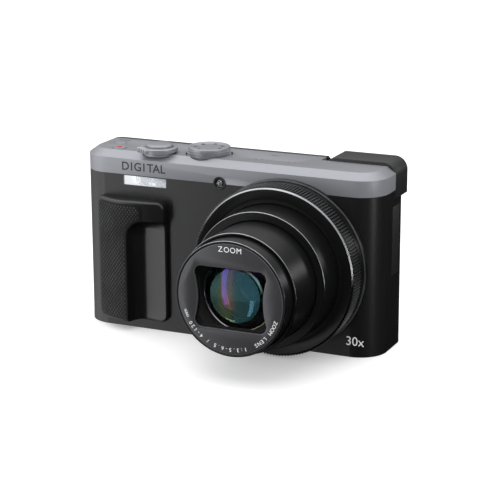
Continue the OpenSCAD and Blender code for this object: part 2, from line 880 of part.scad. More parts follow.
module terminal_door() {
  z = [port_z[0] + slip_gap, port_z[1] - slip_gap];
  color("#171718") {
    block([half_w - wall, half_w], [port_y[0] + slip_gap, port_y[1]], z);
    rod_z(port_hinge, port_knuckle_r, z);
  }
}

// Socket shell: width along z, height along y, open towards +X
module socket(z, y) {
  difference() {
    block([49, 54], y, z);
    block([50, 55], [y[0] + 0.35, y[1] - 0.35], [z[0] + 0.35, z[1] - 0.35]);
  }
  block([50, 53], [(y[0] + y[1]) / 2 - 0.3, (y[0] + y[1]) / 2 + 0.3], [z[0] + 1.4, z[1] - 1.4]);
}

module sockets() {
  color("#b4b6b8") {
    socket([29, 36.9], [2.1, 5.1]);
    socket([40.2, 47.2], [2, 5.2]);
  }
}

module strap_eyelet() {
  color("#b9bbbd")
  difference() {
    block([-57.9, -54], [-0.7, 0.7], [44, 54]);
    block([-57.1, -56.1], [-2, 2], [45.5, 52.5]);
  }
}

module case_screws() {
  color("#2a2a2c")
  for (at = screw_at) {
    rod_z(at, screw_head_r, [0.1, 0.9]);
    rod_z(at, 0.7, [0.9, 5]);
  }
}

front_shell();
top_cover();
rear_shell();
grip();
grip_pad();
lens_collar();
control_ring();
fixed_barrel();
drive_ring();
zoom_motor();
motor_pinion();
stage_1();
stage_2();
stage_3();
name_ring();
blade(1, 0);  // blade_upper_outer
blade(1, 1);  // blade_upper_inner
blade(-1, 0);  // blade_lower_outer
blade(-1, 1);  // blade_lower_inner
front_cell();
front_element();
zoom_cell();
zoom_element();
shutter_unit();
focus_cell();
focus_element();
sensor();
main_board();
chassis();
tripod_bush();
battery();
battery_bay();
memory_card();
battery_door();
door_pin();
door_latch();
lcd_panel();
lcd_cover();
mode_dial();
shutter_button();
zoom_lever();
movie_button();
power_button();
flash_unit();
flash_window();
af_lamp();
evf_housing();
eyepiece();
dioptre_wheel();
rear_dial();
menu_button();
rear_button(playback_at);  // playback_button
rear_button(display_at);  // display_button
rear_button(quick_at);  // quick_menu_button
rear_button(finder_at);  // finder_button
rear_button(lock_at);  // lock_button
terminal_door();
sockets();
strap_eyelet();
case_screws();
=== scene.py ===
import json
import math

import bmesh
import bpy
from mathutils import Matrix, Vector

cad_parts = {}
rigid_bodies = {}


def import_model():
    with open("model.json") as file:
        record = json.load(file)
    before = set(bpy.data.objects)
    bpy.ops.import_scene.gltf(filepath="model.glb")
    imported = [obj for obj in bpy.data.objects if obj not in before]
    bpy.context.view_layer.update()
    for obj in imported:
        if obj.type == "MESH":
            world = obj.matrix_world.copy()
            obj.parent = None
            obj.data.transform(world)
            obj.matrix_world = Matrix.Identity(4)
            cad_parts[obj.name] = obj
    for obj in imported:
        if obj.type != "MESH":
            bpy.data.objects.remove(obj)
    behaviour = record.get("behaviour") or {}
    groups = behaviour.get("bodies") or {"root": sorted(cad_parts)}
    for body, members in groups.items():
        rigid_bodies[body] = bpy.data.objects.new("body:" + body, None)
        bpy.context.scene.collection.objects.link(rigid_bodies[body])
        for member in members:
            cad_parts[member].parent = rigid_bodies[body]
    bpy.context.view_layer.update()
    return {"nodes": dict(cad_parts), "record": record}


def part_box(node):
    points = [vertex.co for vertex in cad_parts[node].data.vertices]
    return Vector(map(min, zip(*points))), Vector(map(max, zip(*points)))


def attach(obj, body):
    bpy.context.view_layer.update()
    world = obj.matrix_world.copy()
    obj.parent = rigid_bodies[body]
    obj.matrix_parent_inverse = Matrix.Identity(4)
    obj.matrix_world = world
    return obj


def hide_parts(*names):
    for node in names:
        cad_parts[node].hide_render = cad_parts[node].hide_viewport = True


for leftover in list(bpy.data.objects):
    bpy.data.objects.remove(leftover)
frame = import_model()

metre = 0.001  # sizes below are in millimetres, and a finished mesh is scaled by this
slotOf = {part["node"]: part["material_slot"] for part in frame["record"]["subparts"]}
bodyOf = {node: body for body, nodes in frame["record"]["behaviour"]["bodies"].items() for node in nodes}


def span(node):
    low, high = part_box(node)
    return low / metre, high / metre


# camera, floor and light

cameraLook = {
    "azimuth": 24.478,  # degrees to the right of the lens's own direction
    "elevation": 15.595,
    "roll": -0.216,
    "distance": 596.249,
    "target": (9.589, -13.5, 33.344),
    "lens": 125.98,
    "sensor": 36,
}

softboxes = {  # place, what it faces, width and height in mm, power in watts, colour
    "overhead": ((-40, 60, 640), (0, 0, 30), (760, 620), 1.5, "#ffffff"),
    "stripLeft": ((-320, -405, 20), (20, -40, 30), (80, 560), 0.45, "#fbfcff"),
    "stripRight": ((420, -150, 150), (20, -20, 30), (50, 420), 0.5, "#ffffff"),
    "rimRight": ((300, 350, 110), (30, -40, 30), (90, 90), 0.1, "#ffffff"),
    "lensTop": ((60, -420, 520), (22, -40, 30), (260, 160), 0.45, "#ffffff"),
}

studioGlow = {  # what the surroundings give to matt surfaces, and to shiny ones from the sides and above
    "matt": 0.93,
    "left": 1.5,
    "right": 0.0,
    "sideFrom": -0.33,  # where the fall from left to right begins and ends, as the X of a direction
    "sideTo": -0.74,
    "above": 1.35,
}


def aim(thing, location, target, roll=0.0):
    back = (Vector(location) - Vector(target)).normalized()
    turn = back.to_track_quat("Z", "Y").to_matrix() @ Matrix.Rotation(math.radians(roll), 3, "Z")
    thing.matrix_world = Matrix.Translation(Vector(location) * metre) @ turn.to_4x4()


def makeCamera(look):
    azimuth, elevation = math.radians(look["azimuth"]), math.radians(look["elevation"])
    back = Vector((math.sin(azimuth) * math.cos(elevation),
                   -math.cos(azimuth) * math.cos(elevation), math.sin(elevation)))
    data = bpy.data.cameras.new("studioCamera")
    data.lens = look["lens"]
    data.sensor_width = look["sensor"]
    camera = bpy.data.objects.new("studioCamera", data)
    bpy.context.scene.collection.objects.link(camera)
    target = Vector(look["target"])
    aim(camera, target + back * look["distance"], target, look["roll"])
    bpy.context.scene.camera = camera


def makeSoftbox(name, place, target, size, power, colour):
    data = bpy.data.lights.new(name, "AREA")
    data.shape = "RECTANGLE"
    data.size, data.size_y = size[0] * metre, size[1] * metre
    data.energy = power
    data.color = hexColour(colour)[:3]
    light = bpy.data.objects.new(name, data)
    bpy.context.scene.collection.objects.link(light)
    aim(light, place, target)


# materials

def hexColour(code):
    channels = [int(code[i:i + 2], 16) / 255 for i in (1, 3, 5)]
    return [c / 12.92 if c <= 0.04045 else ((c + 0.055) / 1.055) ** 2.4 for c in channels] + [1.0]


def addNode(tree, kind, sockets=None, **settings):
    node = tree.nodes.new("ShaderNode" + kind)
    for setting, value in settings.items():
        setattr(node, setting, value)
    for socket, value in (sockets or {}).items():
        if isinstance(value, bpy.types.NodeSocket):
            tree.links.new(value, node.inputs[socket])
        else:
            node.inputs[socket].default_value = value
    return node


def startMaterial(name, centre=(0, 0, 0)):
    # returns the tree and the object's own coordinates in millimetres, measured from a centre
    material = bpy.data.materials.new(name)
    material.use_nodes = True
    tree = material.node_tree
    tree.nodes.clear()
    place = addNode(tree, "TexCoord")
    scale = [1 / metre] * 3
    shift = [-c for c in centre]
    point = addNode(tree, "Mapping", {"Vector": place.outputs["Object"], "Scale": scale, "Location": shift})
    return material, tree, point.outputs[0]


def endMaterial(tree, shader):
    addNode(tree, "OutputMaterial", {"Surface": shader.outputs[0]})


def finish(look):
    # a moulded, cast or anodised surface: cloudy colour, fine grain, and a rubbed tone where the wear layer
    # marks it; on the grip pad's lozenge tips that lighter tone is partly a painted highlight
    material, tree, point = startMaterial(look["name"])
    cloud = addNode(tree, "TexNoise", {"Vector": point, "Scale": 1 / look["mottle"], "Detail": 3.0})
    grain = addNode(tree, "TexNoise", {"Vector": point, "Scale": 1 / look["grain"], "Detail": 2.0})
    body = addNode(tree, "Mix", {0: cloud.outputs[0], 6: hexColour(look["base"]), 7: hexColour(look["tint"])},
                   data_type="RGBA")
    edge = addNode(tree, "Attribute", attribute_name="wearAndSheen")
    patchy = addNode(tree, "MapRange", {"Value": cloud.outputs[0], "From Min": 0.35, "From Max": 0.6,
                                        "To Min": look.get("rub", 0.3) * 0.4, "To Max": look.get("rub", 0.3)})
    rubbed = addNode(tree, "Math", {0: edge.outputs["Fac"], 1: patchy.outputs[0]}, operation="MULTIPLY")
    colour = addNode(tree, "Mix", {0: rubbed.outputs[0], 6: body.outputs[2], 7: hexColour(look["wornAndSheen"])},
                     data_type="RGBA")
    gloss = addNode(tree, "MapRange", {"Value": grain.outputs[0], "From Min": 0.3, "From Max": 0.7,
                                       "To Min": look["rough"][0], "To Max": look["rough"][1]})
    bump = addNode(tree, "Bump", {"Height": grain.outputs[0], "Distance": look["depth"] * metre})
    shader = addNode(tree, "BsdfPrincipled", {
        "Base Color": colour.outputs[2], "Roughness": gloss.outputs[0], "Normal": bump.outputs[0],
        "Metallic": look.get("metallic", 0.0), "IOR": look.get("ior", 1.5),
        # emission here is a painted glow, used where a finish sets one
        "Specular IOR Level": look.get("specular", 0.5), "Emission Color": (1, 1, 1, 1),
        "Emission Strength": look.get("paintedGlow", 0.0),
    })
    endMaterial(tree, shader)
    return material


finishes = {
    # polycarbonate moulded in a spark-eroded tool: an even satin black, a little shinier where hands rub it
    "black_shell": {"name": "polycarbonateSatin", "base": "#0d0d0e", "tint": "#121213", "wornAndSheen": "#2c2c2e",
                    "rough": (0.34, 0.42), "grain": 0.35, "depth": 0.006,
                    "mottle": 14, "ior": 1.58, "rub": 0.35},
    # the same polymer from a coarser tool, for the hand to hold: duller and a shade browner
    "rear_polymer": {"name": "polycarbonateTextured", "base": "#131314", "tint": "#181819", "wornAndSheen": "#2c2c2e",
                     "rough": (0.48, 0.58), "grain": 0.45, "depth": 0.012,
                     "mottle": 18, "ior": 1.58, "rub": 0.3},
    # thermoplastic rubber, moulded: a dull black whose raised lozenge tips grey, partly from wear and partly
    # as a painted highlight
    "grip_rubber": {"name": "rubberMoulded", "base": "#0a0a0b", "tint": "#0e0e0f", "wornAndSheen": "#5c5d5f",
                    "rough": (0.46, 0.6), "grain": 0.25, "depth": 0.008, "mottle": 9, "ior": 1.52, "rub": 0.5,
                    "specular": 0.25},
    # aluminium, glass-bead blasted and clear anodised: soft grey, with bare bright metal on its edges
    "silver_top": {"name": "aluminiumBlasted", "base": "#888a8f", "tint": "#8f9196", "wornAndSheen": "#c9cacc",
                   "rough": (0.42, 0.5), "grain": 0.3, "depth": 0.004,
                   "mottle": 22, "metallic": 0.55, "rub": 0.35},
    # aluminium, turned and black anodised: a smooth black with a soft metallic sheen
    "lens_black": {"name": "aluminiumBlackAnodised", "base": "#111112", "tint": "#161617", "wornAndSheen": "#6f7072",
                   "rough": (0.28, 0.36), "grain": 0.28, "depth": 0.003,
                   "mottle": 12, "metallic": 0.3, "rub": 0.5},
    # aluminium, face-turned and grey anodised: the lens's lettered front ring
    "ringFace": {"name": "aluminiumGreyAnodised", "base": "#3b3b3d", "tint": "#404042", "wornAndSheen": "#8a8b8d",
                 "rough": (0.36, 0.44), "grain": 0.3, "depth": 0.003,
                 "mottle": 14, "metallic": 0.5, "rub": 0.5},
    # flock-like anti-reflection paint: nearly no highlight
    "lens_inner": {"name": "mattBlackPaint", "base": "#050505", "tint": "#090909", "wornAndSheen": "#111112",
                   "rough": (0.6, 0.8), "grain": 0.2, "depth": 0.01,
                   "mottle": 6, "rub": 0.2, "specular": 0.3},
    # spring steel, black lacquered: thin and slightly shiny
    "blade_steel": {"name": "steelBlackLacquer", "base": "#202123", "tint": "#27282a", "wornAndSheen": "#8a8b8d",
                    "rough": (0.26, 0.36), "grain": 0.3, "depth": 0.003,
                    "mottle": 8, "metallic": 0.4, "rub": 0.6},
    # acetal, moulded: waxy off-white
    "gear_polymer": {"name": "acetalMoulded", "base": "#c9c7bd", "tint": "#d3d1c8", "wornAndSheen": "#e4e2da",
                     "rough": (0.3, 0.4), "grain": 0.4, "depth": 0.003, "mottle": 10, "ior": 1.48},
    # brass, hobbed: warm yellow metal with a fine cut
    "brass_gear": {"name": "brassHobbed", "base": "#a9874a", "tint": "#b8965a", "wornAndSheen": "#dcc08a",
                   "rough": (0.22, 0.34), "grain": 0.2, "depth": 0.003, "mottle": 5, "metallic": 1.0},
    # steel, nickel plated: bright with a faint haze
    "bright_steel": {"name": "steelNickelPlated", "base": "#a8aaac", "tint": "#b6b8ba", "wornAndSheen": "#dcdedf",
                     "rough": (0.18, 0.3), "grain": 0.3, "depth": 0.002, "mottle": 7, "metallic": 1.0},
    # shrink-wrapped cell: dark film, slightly glossy
    "battery_wrap": {"name": "batteryFilm", "base": "#23262b", "tint": "#2a2e34", "wornAndSheen": "#4c5057",
                     "rough": (0.22, 0.32), "grain": 1.2, "depth": 0.01, "mottle": 16, "ior": 1.55},
    # card shell: blue-black polystyrene, fine matt
    "card_blue": {"name": "polystyreneMatt", "base": "#1c2a46", "tint": "#22324f", "wornAndSheen": "#3d5072",
                  "rough": (0.4, 0.5), "grain": 0.3, "depth": 0.005, "mottle": 9, "ior": 1.59},
    # glass-filled nylon: grey with fibre flecks
    "bay_polymer": {"name": "nylonGlassFilled", "base": "#2c2e32", "tint": "#36383c", "wornAndSheen": "#4a4c50",
                    "rough": (0.42, 0.56), "grain": 0.5, "depth": 0.01, "mottle": 4, "ior": 1.53},
    # pressed steel tray of the screen: dull zinc plating
    "screen_module": {"name": "steelZincPlated", "base": "#6c6e70", "tint": "#7b7d7f", "wornAndSheen": "#9c9ea0",
                      "rough": (0.34, 0.48), "grain": 1.5, "depth": 0.004, "mottle": 8, "metallic": 0.9},
    # polycarbonate keys, moulded and lacquered: a deeper, slightly glossier black than the shell
    "button_black": {"name": "polycarbonateLacquered",
                     "base": "#151517", "tint": "#19191b", "wornAndSheen": "#3b3b3e",
                     "rough": (0.3, 0.38), "grain": 0.25, "depth": 0.003,
                     "mottle": 7, "ior": 1.58, "rub": 0.45},
    # vacuum-metallised polymer: close to a mirror, with a faint ripple from the mould, and a painted glow: it
    # emits light though it is no lamp
    "flash_silver": {"name": "metallisedReflector", "base": "#eceef0", "tint": "#f6f7f8", "wornAndSheen": "#fafafa",
                     "rough": (0.24, 0.34), "grain": 0.6, "depth": 0.004, "mottle": 3, "metallic": 0.1,
                     "paintedGlow": 0.3},
    # black polymer bezel of the focus lamp
    "lamp_black": {"name": "lampBezel", "base": "#0f0f10", "tint": "#151516", "wornAndSheen": "#4a4a4c",
                   "rough": (0.24, 0.34), "grain": 0.2, "depth": 0.003, "mottle": 4, "ior": 1.55, "rub": 0.5},
    # steel screws, black oxide: dark with a bluish bloom, bare on the recess edges
    "screw_black": {"name": "steelBlackOxide", "base": "#1f2023", "tint": "#2a2b2f", "wornAndSheen": "#85868a",
                    "rough": (0.28, 0.42), "grain": 0.15, "depth": 0.004,
                    "mottle": 1.5, "metallic": 0.8, "rub": 0.6},
    # aluminium with a diamond-cut chamfer: a bright thin line on the edge of a black part
    "cutEdge": {"name": "aluminiumDiamondCut", "base": "#8a8b8d", "tint": "#a3a4a6", "wornAndSheen": "#c4c5c7",
                "rough": (0.16, 0.26), "grain": 0.2, "depth": 0.002, "mottle": 6, "metallic": 1.0},
    # epoxy screen inks: thick enough to stand a hair above the surface, with ragged pinholes
    "whiteInk": {"name": "inkWhite", "base": "#c9cacb", "tint": "#dadbdc", "wornAndSheen": "#e4e5e6",
                 "rough": (0.4, 0.5), "grain": 0.15, "depth": 0.004, "mottle": 2},
    "darkInk": {"name": "inkDarkGrey", "base": "#17181b", "tint": "#1e1f23", "wornAndSheen": "#4a4b50",
                "rough": (0.35, 0.45), "grain": 0.15, "depth": 0.004, "mottle": 2},
    "redInk": {"name": "enamelRed", "base": "#b3121f", "tint": "#c81d2b", "wornAndSheen": "#dd4450",
               "rough": (0.18, 0.28), "grain": 0.2, "depth": 0.003, "mottle": 1.5},
}


def coatedGlass(name, tintCode, film, ior=1.62, paintedStripeShift=0.0, centre=(0, 0, 0)):
    # ground and polished optical glass with a vacuum coating: clear, with a strong tint where a light
    # mirrors; in one vertical band of the glass the film (nm) is shifted, a painted reflection stripe of
    # another tint
    material, tree, point = startMaterial(name, centre=centre)
    haze = addNode(tree, "TexNoise", {"Vector": point, "Scale": 1 / 3.5, "Detail": 4.0})
    smear = addNode(tree, "MapRange", {"Value": haze.outputs[0], "From Min": 0.45, "From Max": 0.75,
                                       "To Min": 0.0, "To Max": 0.035})  # finger haze
    # a band about X = -5.3 mm from the centre gets the shifted film: a painted reflection stripe
    split = addNode(tree, "SeparateXYZ", {"Vector": point})
    stripeOffset = addNode(tree, "Math", {0: split.outputs["X"], 1: 5.3}, operation="ADD")
    gap = addNode(tree, "Math", {0: stripeOffset.outputs[0]}, operation="ABSOLUTE")
    across = addNode(tree, "MapRange", {"Value": gap.outputs[0], "From Min": 1.6, "From Max": 3.0,
                                        "To Min": film - paintedStripeShift, "To Max": film},
                     interpolation_type="SMOOTHSTEP")
    shader = addNode(tree, "BsdfPrincipled", {
        "Base Color": hexColour(tintCode), "Roughness": smear.outputs[0], "IOR": ior,
        "Transmission Weight": 1.0, "Thin Film Thickness": across.outputs[0], "Thin Film IOR": 1.38,
    })
    endMaterial(tree, shader)
    return material


def screenGlass():
    # toughened glass with a black mask behind it: deep black, mirror smooth, a few greasy smears
    material, tree, point = startMaterial("glassBlackBacked")
    smears = addNode(tree, "TexNoise", {"Vector": point, "Scale": 1 / 9.0, "Detail": 5.0, "Distortion": 1.2})
    gloss = addNode(tree, "MapRange", {"Value": smears.outputs[0], "From Min": 0.45, "From Max": 0.75,
                                       "To Min": 0.03, "To Max": 0.16})
    shader = addNode(tree, "BsdfPrincipled", {
        "Base Color": hexColour("#050506"), "Roughness": gloss.outputs[0], "IOR": 1.52,
        "Coat Weight": 0.4, "Coat Roughness": 0.04,
    })
    endMaterial(tree, shader)
    return material


def circuitBoard():
    # glass-epoxy laminate: green solder mask over copper tracks on a 1.3 mm routing pitch
    material, tree, point = startMaterial("epoxyGreenMask")
    tracks = addNode(tree, "TexBrick", {
        "Vector": point, "Scale": 1.0, "Mortar Size": 0.18, "Brick Width": 5.2, "Row Height": 1.3,
        "Color1": (0, 0, 0, 1), "Color2": (0, 0, 0, 1), "Mortar": (1, 1, 1, 1),
    })
    colour = addNode(tree, "Mix", {0: tracks.outputs[0], 6: hexColour("#12402a"), 7: hexColour("#2f7a4b")},
                     data_type="RGBA")
    bump = addNode(tree, "Bump", {"Height": tracks.outputs[0], "Distance": 0.03 * metre})
    shader = addNode(tree, "BsdfPrincipled", {"Base Color": colour.outputs[2], "Roughness": 0.28,
                                              "Normal": bump.outputs[0], "IOR": 1.55})
    endMaterial(tree, shader)
    return material


def paperFloor():
    # seamless matt paper on a lit table: pale, with a faint tooth
    material, tree, point = startMaterial("paperSeamless")
    tooth = addNode(tree, "TexNoise", {"Vector": point, "Scale": 1 / 1.5, "Detail": 3.0})
    bump = addNode(tree, "Bump", {"Height": tooth.outputs[0], "Distance": 0.02 * metre})
    shader = addNode(tree, "BsdfPrincipled", {"Base Color": hexColour("#f6f6f6"), "Roughness": 0.95,
                                              "Normal": bump.outputs[0], "Specular IOR Level": 0.1,
                                              "Emission Color": (1, 1, 1, 1), "Emission Strength": 0.24})
    endMaterial(tree, shader)
    return material


materials = {slot: finish(look) for slot, look in finishes.items()}
# the front element's coating carries the painted reflection stripe, centred on the element
materials["coated_glass"] = coatedGlass("glassCoatedTeal", "#d9efe8", 295, 1.65, -36,
                                        tuple(sum(span("front_element"), Vector()) / 2))
materials["innerGlass"] = coatedGlass("glassCoatedRose", "#cfe8de", 400, 1.75)
materials["clear_window"] = coatedGlass("polycarbonateClear", "#f4f6f8", 0.0, 1.58)
materials["sensor_glass"] = coatedGlass("glassFilterCyan", "#7fb0a4", 500, 1.52)
materials["screen_glass"] = screenGlass()
materials["board_green"] = circuitBoard()
for node, thing in frame["nodes"].items():
    thing.data.materials.clear()
    thing.data.materials.append(materials[slotOf[node]])
print("materials: %d" % len(materials))


# making pieces

def shadeFaces(bm):
    # curved faces are smooth; flat ones beside a rounded edge stay flat, so it doesn't bend their light
    wornAndSheen = bm.loops.layers.float.get("wearAndSheen")
    edgeFaces = {f for f in bm.faces if wornAndSheen and all(loop[wornAndSheen] > 0.9 for loop in f.loops)}
    for face in bm.faces:
        beside = [f for e in face.edges for f in e.link_faces if f is not face]
        bends = [face.normal.angle(f.normal, 0) for f in beside if f not in edgeFaces]
        square = max(abs(c) for c in face.normal) > 0.99998 and face.calc_area() > 2e-5
        curved = len(face.verts) <= 6 and any(0.006 < b < 0.5 for b in bends) and not square
        face.smooth = face in edgeFaces or curved


def addPiece(bm, name, body, slots, replaced=(), place=None, sharp=32):
    # scales the mesh to metres, gives it its finishes and lets it ride; slots name finishes by material index
    slots = [slots] if isinstance(slots, str) else slots
    if place is not None:
        bmesh.ops.transform(bm, matrix=place, verts=bm.verts)
    bmesh.ops.scale(bm, vec=(metre, metre, metre), verts=bm.verts)
    bm.normal_update()
    shadeFaces(bm)
    mesh = bpy.data.meshes.new(name)
    bm.to_mesh(mesh)
    bm.free()
    mesh.set_sharp_from_angle(angle=math.radians(sharp))
    piece = bpy.data.objects.new(name, mesh)
    bpy.context.scene.collection.objects.link(piece)
    for slot in slots:
        mesh.materials.append(materials[slot])
    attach(piece, body)
    if replaced:
        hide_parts(*replaced)
    return piece


def roundEdges(bm, width, segments=2, angle=28):
    # rounds every edge sharper than an angle and marks the new faces as worn
    edges = [e for e in bm.edges
             if len(e.link_faces) == 2 and e.calc_face_angle(0) > math.radians(angle)]
    wornAndSheen = bm.loops.layers.float.get("wearAndSheen") or bm.loops.layers.float.new("wearAndSheen")
    made = bmesh.ops.bevel(bm, geom=edges, offset=width, offset_type="OFFSET", affect="EDGES", profile=0.5,
                           segments=segments, material=-1, clamp_overlap=True)
    for face in made["faces"]:
        for loop in face.loops:
            loop[wornAndSheen] = 1.0


def copyOf(node):
    # a merged copy of a node's mesh in millimetres, with its flat faces whole again
    bm = bmesh.new()
    bm.from_mesh(frame["nodes"][node].data)
    bmesh.ops.scale(bm, vec=(1 / metre, 1 / metre, 1 / metre), verts=bm.verts)
    bmesh.ops.remove_doubles(bm, verts=bm.verts, dist=0.002)
    bmesh.ops.dissolve_limit(bm, angle_limit=math.radians(0.6), verts=bm.verts, edges=bm.edges)
    return bm


def soften(node, width, segments=2):
    bm = copyOf(node)
    roundEdges(bm, width, segments)
    return addPiece(bm, node + "_finished", bodyOf[node], slotOf[node], [node])


def turned(profile, axis="Y", steps=144, closed=True):
    # spins an outline of (radius, place along the axis) about the axis through the origin
    bm = bmesh.new()
    along = Vector((0, 1, 0)) if axis == "Y" else Vector((0, 0, 1))
    verts = [bm.verts.new(Vector((radius, 0, 0)) + along * place) for radius, place in profile]
    pairs = list(zip(verts, verts[1:])) + ([(verts[-1], verts[0])] if closed else [])
    edges = [bm.edges.new(pair) for pair in pairs]
    bmesh.ops.spin(bm, geom=verts + edges, cent=(0, 0, 0), axis=along, dvec=(0, 0, 0),
                   angle=math.tau, steps=steps, use_merge=True, use_duplicate=False)
    bmesh.ops.remove_doubles(bm, verts=bm.verts, dist=0.0005)
    bmesh.ops.recalc_face_normals(bm, faces=bm.faces)
    return bm


def arc(centre, radius, start, end, rows):
    # points of an arc, with angles in degrees from the outward direction towards the axis direction
    turn = [math.radians(start + (end - start) * i / rows) for i in range(rows + 1)]
    return [(centre[0] + radius * math.cos(a), centre[1] + radius * math.sin(a)) for a in turn]


def addBox(bm, low, high, place=None):
    # a block between two corners, put into a mesh that is being made
    size = [h - l for l, h in zip(low, high)]
    middle = [(h + l) / 2 for l, h in zip(low, high)]
    matrix = Matrix.Translation(middle) @ Matrix.Diagonal((*size, 1))
    return bmesh.ops.create_cube(bm, size=1, matrix=(place or Matrix.Identity(4)) @ matrix)["verts"]


lensCentre = (span("stage_3")[0] + span("stage_3")[1]) / 2
lensPlace = Matrix.Translation((lensCentre.x, 0, lensCentre.z))


# lettering

def lettering(name, body, ink, texts, place, thickness=0.03, weight=0.0):
    # texts are (word, height, middle x, baseline y, turn in degrees) in a drawing plane, which place moves
    bm = bmesh.new()
    for word, height, x, y, turn in texts:
        curve = bpy.data.curves.new("word", "FONT")
        curve.body = word
        curve.size = height / 0.72  # capitals of the built-in face stand about 0.72 of its size
        curve.align_x = "CENTER"
        curve.extrude = thickness / 2
        curve.offset = weight
        curve.resolution_u = 4
        holder = bpy.data.objects.new("word", curve)
        bpy.context.scene.collection.objects.link(holder)
        bpy.context.view_layer.update()
        mesh = bpy.data.meshes.new_from_object(holder.evaluated_get(bpy.context.evaluated_depsgraph_get()))
        bpy.data.objects.remove(holder)
        mesh.transform(place @ Matrix.Translation((x, y, 0)) @ Matrix.Rotation(math.radians(turn), 4, "Z"))
        bm.from_mesh(mesh)
        bpy.data.meshes.remove(mesh)
    bmesh.ops.remove_doubles(bm, verts=bm.verts, dist=0.0005)
    return addPiece(bm, name, body, ink)


facing = Matrix.Rotation(math.radians(90), 4, "X")  # turns a drawing in x and y to stand and look along -Y


# body shells, grip and small fixed parts

edgeRounding = {  # node: (radius of its moulded or milled edges in mm, segments)
    "top_cover": (0.28, 3),
    "evf_housing": (0.45, 3),
    "eyepiece": (0.15, 1),
    "dioptre_wheel": (0.12, 1),
    "battery_door": (0.2, 2),
    "door_latch": (0.12, 1),
    "terminal_door": (0.18, 2),
    "lcd_cover": (0.22, 3),
    "rear_dial": (0.12, 2),
    "menu_button": (0.3, 3),
    "playback_button": (0.25, 3),
    "display_button": (0.25, 3),
    "quick_menu_button": (0.25, 3),
    "finder_button": (0.25, 3),
    "lock_button": (0.25, 3),
    "flash_unit": (0.1, 1),
    "strap_eyelet": (0.35, 3),
    "fixed_barrel": (0.12, 1),
    "name_ring": (0.14, 2),
    "front_cell": (0.1, 1),
    "zoom_cell": (0.15, 1),
    "shutter_unit": (0.2, 1),
    "battery": (0.8, 3),
    "memory_card": (0.25, 2),
    "battery_bay": (0.2, 1),
    "tripod_bush": (0.3, 2),
    "zoom_motor": (0.3, 2),
}


def makeSoftened():
    for node, (radius, segments) in edgeRounding.items():
        piece = soften(node, radius, segments)
        if node == "name_ring":
            piece.data.materials[0] = materials["ringFace"]
    print("shells and small parts: %d" % len(edgeRounding))


gripLook = {
    "cornerRadius": 3.0,
    "edgeRadius": 0.9,  # rolled edge round the whole grip
    "crestX": -35.5,
    "rise": 6.0,  # crest ahead of the body's front face
    "leftRadius": 19.5,
    "rightRadius": 40.0,
    "step": (-34.6, 40.2),  # right edge of the left band, lower edge of the top band
    "stepRadius": 6.0,
    "scoopWidth": (4.6, 3.4),  # how far the hollow's wall sweeps out from the left band and from the top band
    "scoopLow": 0.5,  # height of the hollow's floor above the front face, and of its far side
    "scoopHigh": 1.7,
    "cell": 0.26,  # size of the surface's cells
}

padLook = {
    "low": (-48.0, 4.4),
    "high": (-29.2, 46.3),
    "stepIn": (0.4, 0.5),  # how far the pad stops short of the bands' edges
    "cornerRadius": 2.0,
    "thickness": 0.28,
    "pitch": (1.24, 1.62),  # of the raised lozenges, across and up
    "lozenge": (0.92, 1.3, 0.24),  # width, height, rise
}


def crownRise(x):
    # height of the grip's crowned front above the body's front face
    look = gripLook
    ball = look["leftRadius"] if x < look["crestX"] else look["rightRadius"]
    return look["rise"] - (ball - math.sqrt(ball * ball - (x - look["crestX"]) ** 2))


def insideRounded(x, z, low, high, radius):
    # distance inside a rounded rectangle, negative outside
    across = abs(x - (low[0] + high[0]) / 2) - (high[0] - low[0]) / 2 + radius
    up = abs(z - (low[1] + high[1]) / 2) - (high[1] - low[1]) / 2 + radius
    outside = math.hypot(max(across, 0), max(up, 0))
    return radius - (outside if outside > 0 else max(across, up))


def pastStep(x, z, step, radius):
    # distance out of the two bands into the hollow, with a round inner corner; negative inside the bands
    right, down = x - step[0], step[1] - z
    if right < radius and down < radius:
        return radius - math.hypot(radius - right, radius - down)
    return min(right, down)


def gripHeight(x, z, low, high):
    look = gripLook
    crown = crownRise(x)
    rim = insideRounded(x, z, low, high, look["cornerRadius"])
    out = pastStep(x, z, look["step"], look["stepRadius"])
    right, down = max(x - look["step"][0], 0), max(look["step"][1] - z, 0)
    width = look["scoopWidth"][0] if down > right else look["scoopWidth"][1]
    floorRise = look["scoopLow"] + (look["scoopHigh"] - look["scoopLow"]) * max((x + 31) / 9, 0) ** 1.6
    if out <= 0:
        height = crown
        edge = min(-out, 0.5)
        height -= 0.5 - math.sqrt(0.25 - (0.5 - edge) ** 2)
    else:
        t = min(out / width, 1)
        height = floorRise + (crown - 0.5 - floorRise) * (1 - math.sqrt(1 - (1 - t) ** 2))
    roll = look["edgeRadius"]
    if rim < roll:
        height -= roll - math.sqrt(max(roll * roll - (roll - max(rim, 0)) ** 2, 0))
    return max(height, 0.15)


